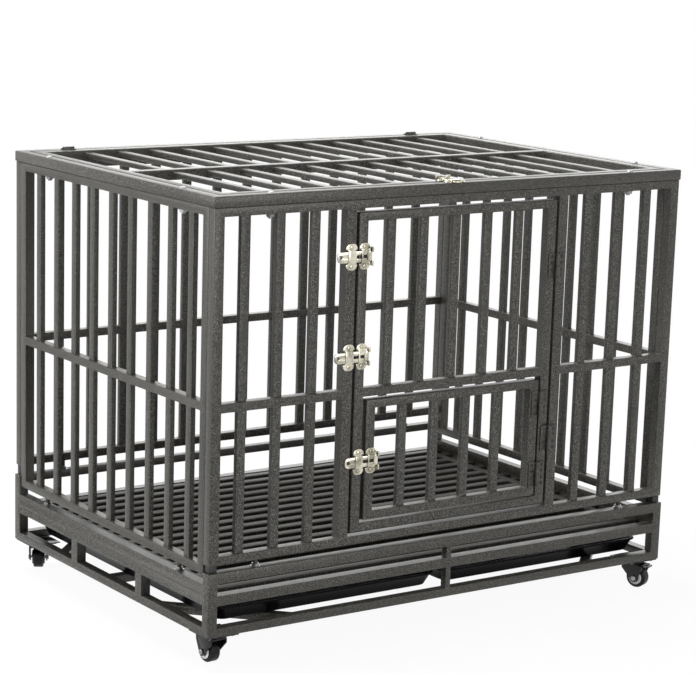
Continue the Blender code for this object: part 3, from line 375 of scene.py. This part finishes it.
def turned(name, profile, place, material, body, sides=20):
    # (radius, height) points from the bottom up, turned round Z and carried to their place
    shape = bmesh.new()
    turns = [2 * math.pi * i / sides for i in range(sides)]
    skin(shape, [[place @ Vector((r * math.cos(t), r * math.sin(t), h)) for t in turns]
                 for r, h in profile])
    return finishMesh(name, shape, material, body)


def turnedRing(name, profile, place, material, body, sides=32):
    # the same, for a closed profile that stays clear of the axis
    shape = bmesh.new()
    verts = [shape.verts.new((r, 0, h)) for r, h in profile]
    edges = [shape.edges.new((verts[i - 1], verts[i])) for i in range(len(verts))]
    bmesh.ops.spin(shape, geom=verts + edges, cent=(0, 0, 0), axis=(0, 0, 1),
                   angle=2 * math.pi, steps=sides, use_merge=True)
    bmesh.ops.remove_doubles(shape, verts=shape.verts, dist=weldGap)
    bmesh.ops.transform(shape, matrix=place, verts=shape.verts)
    return finishMesh(name, shape, material, body)


facingOut = {"front": Matrix.Rotation(math.pi / 2, 4, "X"), "up": Matrix.Identity(4),
             "down": Matrix.Rotation(math.pi, 4, "X")}


def standing(place, facing):
    return Matrix.Translation(place) @ facingOut[facing]


screw = {
    "steps": 32, "armHalf": 13, "arm": 0.62, "core": 0.22, "depth": 0.55, "floor": 0.75,
    "head": [(1, 0), (1, 0.35), (0.9, 0.75), (0.7, 1)],  # shares of radius and height
}


def crossHead(name, place, facing, radius, height, material, body):
    # pan-head screw with a cross recess
    def star(turn):
        off = abs((math.degrees(turn) + 45) % 90 - 45)
        return radius * (screw["arm"] if off < screw["armHalf"] else screw["core"])
    turns = [2 * math.pi * i / screw["steps"] for i in range(screw["steps"])]
    rings = [([radius * share for turn in turns], height * up) for share, up in screw["head"]]
    rings.append(([star(turn) for turn in turns], height))
    rings.append(([star(turn) * screw["floor"] for turn in turns], height * (1 - screw["depth"])))
    carry = standing(place, facing)
    shape = bmesh.new()
    skin(shape, [[carry @ Vector((r * math.cos(t), r * math.sin(t), h)) for r, t in zip(reach, turns)]
                 for reach, h in rings])
    return finishMesh(name, shape, material, body)


nut = {
    "radius": 0.0078, "height": 0.0058, "chamfer": 0.0009,
    "washer": 0.0095, "washerHeight": 0.0011, "washerEdge": 0.0003,
    "end": 0.0042, "endHeight": 0.003, "endEdge": 0.0008, "endTip": 0.7,
}


def hexNut(name, place, facing, mats, body, withEnd=True):
    # washer, six-sided nut and, where the bolt comes through, its rounded end
    carry = standing(place, facing)
    r, w, e = nut["washer"], nut["washerHeight"], nut["washerEdge"]
    turned(name + "_washer", [(r - e, 0), (r, e), (r, w - e), (r - e, w)],
           carry, mats["zinc"], body, 24)
    r, h, c = nut["radius"], nut["height"], nut["chamfer"]
    turned(name + "_nut", [(r - c, w), (r, w + c), (r, h - c), (r - c, h)],
           carry, mats["zinc"], body, 6)
    if withEnd:
        r, top = nut["end"], h + nut["endHeight"]
        turned(name + "_end", [(r, h), (r, top - nut["endEdge"]), (r * nut["endTip"], top)],
               carry, mats["zinc"], body, 16)


# tubes: panels, doors, lid, rim, base and floor
tubes = {
    "edge": {"top_rim": 0.002, "lid": 0.002, "base_frame": 0.0017, "floor_grid": 0.0022},
    "otherEdge": 0.0018,
    "pieces": ["top_rim", "lid", "front_panel", "rear_panel", "left_panel", "right_panel",
               "main_door", "feeding_door", "base_frame", "floor_grid"],
    "sharpFrom": 50, "seam": 0.136, "seamHalf": 0.0012,
}


def besideSeam(edge):
    # the narrow groove along the base's sides keeps its sharp edges
    return all(abs(v.co.z - tubes["seam"]) < tubes["seamHalf"] for v in edge.verts)


def dressTubes(mats):
    for name in tubes["pieces"]:
        width = tubes["edge"].get(name, tubes["otherEdge"])
        keep = besideSeam if name == "base_frame" else None
        # the floor slats get the coat with painted shade
        finish = mats["paintedShadeSlatCoat"] if name == "floor_grid" else mats["coat"]
        softEdged(name, name + "_tubes", width, finish, tubes["sharpFrom"], keep)


# bolts: rim to side panels, and panels to base
bolts = {
    "rim": [
        # row, places on the rim, how far further in the rail below lies
        ("left", [(-0.5235, -0.246), (-0.5235, 0.2543)], (0.002, 0)),
        ("right", [(0.5235, -0.246), (0.5235, 0.2543)], (-0.002, 0)),
        ("front", [(-0.4135, -0.36085), (0.409, -0.36085)], (0, 0.002)),
    ],
    "rimTop": 0.848, "railUnder": 0.8117, "headRadius": 0.0062, "headHeight": 0.003,
    "dome": [(1, 0), (0.97, 0.35), (0.8, 0.75), (0.5, 0.95), (0.15, 1)],  # shares of radius and height
    "base": [
        # row, places, top of the base there
        ("front", [(-0.428, -0.35885), (0.428, -0.35885)], 0.1775),
        ("rear", [(-0.431, 0.36715), (0.431, 0.36715)], 0.195),
        ("left", [(-0.5215, -0.25085), (-0.5215, 0.25915)], 0.156),
        ("right", [(0.5215, -0.25085), (0.5215, 0.25915)], 0.156),
    ],
}


def dressBolts(mats):
    dome = [(bolts["headRadius"] * share, bolts["headHeight"] * up) for share, up in bolts["dome"]]
    for row, places, (inX, inY) in bolts["rim"]:
        for number, (x, y) in enumerate(places):
            name = f"rimBolt_{row}_{number}"
            turned(name, dome, standing((x, y, bolts["rimTop"]), "up"), mats["zinc"], "root")
            hexNut(name, (x + inX, y + inY, bolts["railUnder"]), "down", mats, "root")
    for row, places, top in bolts["base"]:
        for number, (x, y) in enumerate(places):
            hexNut(f"baseBolt_{row}_{number}", (x, y, top), "up", mats, "root", False)


# hinges: each half with rounded edges, and screws in the door hinge halves
hinges = {
    "edge": 0.0005, "knuckle": 0.005, "sheet": 0.002,
    "screwOut": 0.0124, "screwUp": (0.007, 0.019), "screwRadius": 0.0032, "screwHeight": 0.0013,
}


def dressHinges(mats):
    for name in sorted(frame["nodes"]):
        if "_hinge_" not in name:
            continue
        softEdged(name, name + "_leaf", hinges["edge"], mats["coat"])
        if name.startswith("lid_"):
            continue
        low, high = boundsOf(name)
        face = high.y - hinges["sheet"]
        middle = (low.z + high.z) / 2
        if name.endswith("_fixed"):
            screwX = low.x + hinges["knuckle"] + hinges["screwOut"]
        else:
            screwX = high.x - hinges["knuckle"] - hinges["screwOut"]
        for number, up in enumerate(hinges["screwUp"]):
            for half in (-1, 1):
                crossHead(f"{name}_screw_{number}_{half + 1}", (screwX, face, middle + half * up), "front",
                          hinges["screwRadius"], hinges["screwHeight"], mats["darkScrew"],
                          bodyOf[name])


# latches: plated strap, guide and bolt, with pan-head screws in the tabs
latches = {"edge": 0.0004, "sheet": 0.0015, "screwOut": 0.01735, "lidScrewOut": 0.0163,
           "screwRadius": 0.0042, "screwHeight": 0.0019}


def dressLatches(mats):
    for name in sorted(frame["nodes"]):
        if name.startswith("latch_"):
            softEdged(name, name + "_plate", latches["edge"], mats["nickel"])
        if not name.startswith("latch_") or name.endswith("bolt"):
            continue
        low, high = boundsOf(name)
        middle = (low + high) / 2
        for number, sign in enumerate((-1, 1)):
            if "_lid_" in name:
                place = (middle.x + sign * latches["lidScrewOut"], middle.y, low.z + latches["sheet"])
                facing = "up"
            else:
                place = (middle.x, high.y - latches["sheet"], middle.z + sign * latches["screwOut"])
                facing = "front"
            crossHead(f"{name}_screw_{number}", place, facing, latches["screwRadius"],
                      latches["screwHeight"], mats["nickel"], bodyOf[name])


# casters: black plate, fork and pedal, rubber tread with a pale ring at each side
casters = {
    "edge": 0.0005,
    "ring": [(0.0084, 0.0123), (0.0088, 0.0130), (0.0132, 0.0131), (0.0141, 0.0122)],
    "plateBolt": 0.0245, "plateBoltRadius": 0.0042, "plateBoltHeight": 0.0028, "plateUnder": 0.0572,
    "plateBoltHead": [(1, 0), (1, 0.7), (0.85, 1)],  # shares of radius and height
}


def dressCasters(mats):
    for name in sorted(frame["nodes"]):
        if name.startswith("caster_wheel"):
            softEdged(name, name + "_tread", casters["edge"], mats["rubber"])
            addWheelRings(name, mats)
        elif name.startswith("caster_axle"):
            softEdged(name, name + "_bolt", casters["edge"], mats["zinc"])
        elif name.startswith("caster_"):
            softEdged(name, name + "_part", casters["edge"], mats["black"])
        if name.startswith("caster_plate"):
            addPlateBolts(name, mats)


def addWheelRings(name, mats):
    joint = next(j for j in frame["joints"] if j["child"] == bodyOf[name])
    along = Vector(joint["axis"]).normalized()
    middle = Vector(joint["pos_m"])
    for side, way in (("inner", -1), ("outer", 1)):
        turn = (along * way).to_track_quat("Z", "Y").to_matrix().to_4x4()
        turnedRing(f"{name}_ring_{side}", casters["ring"], Matrix.Translation(middle) @ turn,
                   mats["ring"], bodyOf[name])


def addPlateBolts(name, mats):
    low, high = boundsOf(name)
    middle = (low + high) / 2
    reach = casters["plateBolt"]
    head = [(casters["plateBoltRadius"] * share, casters["plateBoltHeight"] * up)
            for share, up in casters["plateBoltHead"]]
    for number, (dx, dy) in enumerate(((-1, -1), (1, -1), (1, 1), (-1, 1))):
        place = (middle.x + dx * reach, middle.y + dy * reach, casters["plateUnder"])
        turned(f"{name}_bolt_{number}", head, standing(place, "down"), mats["zinc"],
               bodyOf[name], 6)


trays = {"edge": 0.0009}


def dressTrays(mats):
    for name in ("tray_left", "tray_right"):
        softEdged(name, name + "_tub", trays["edge"], mats["tray"])


spacers = {"edge": 0.0014, "sharpFrom": 25}


def dressSpacers(mats):
    for name in sorted(frame["nodes"]):
        if name.startswith("corner_spacer"):
            softEdged(name, name + "_block", spacers["edge"], mats["spacer"],
                      spacers["sharpFrom"])


def build():
    scene = bpy.context.scene
    scene.view_settings.view_transform = "Standard"
    placeCamera()
    lightRoom()
    layFloor()
    print("camera and room set")
    mats = makeMaterials()
    print("materials made")
    dressTubes(mats)
    print("tubes dressed")
    dressBolts(mats)
    print("bolts set")
    dressHinges(mats)
    print("hinges dressed")
    dressLatches(mats)
    print("latches dressed")
    dressCasters(mats)
    dressTrays(mats)
    dressSpacers(mats)
    print("casters, trays and spacers dressed")


build()
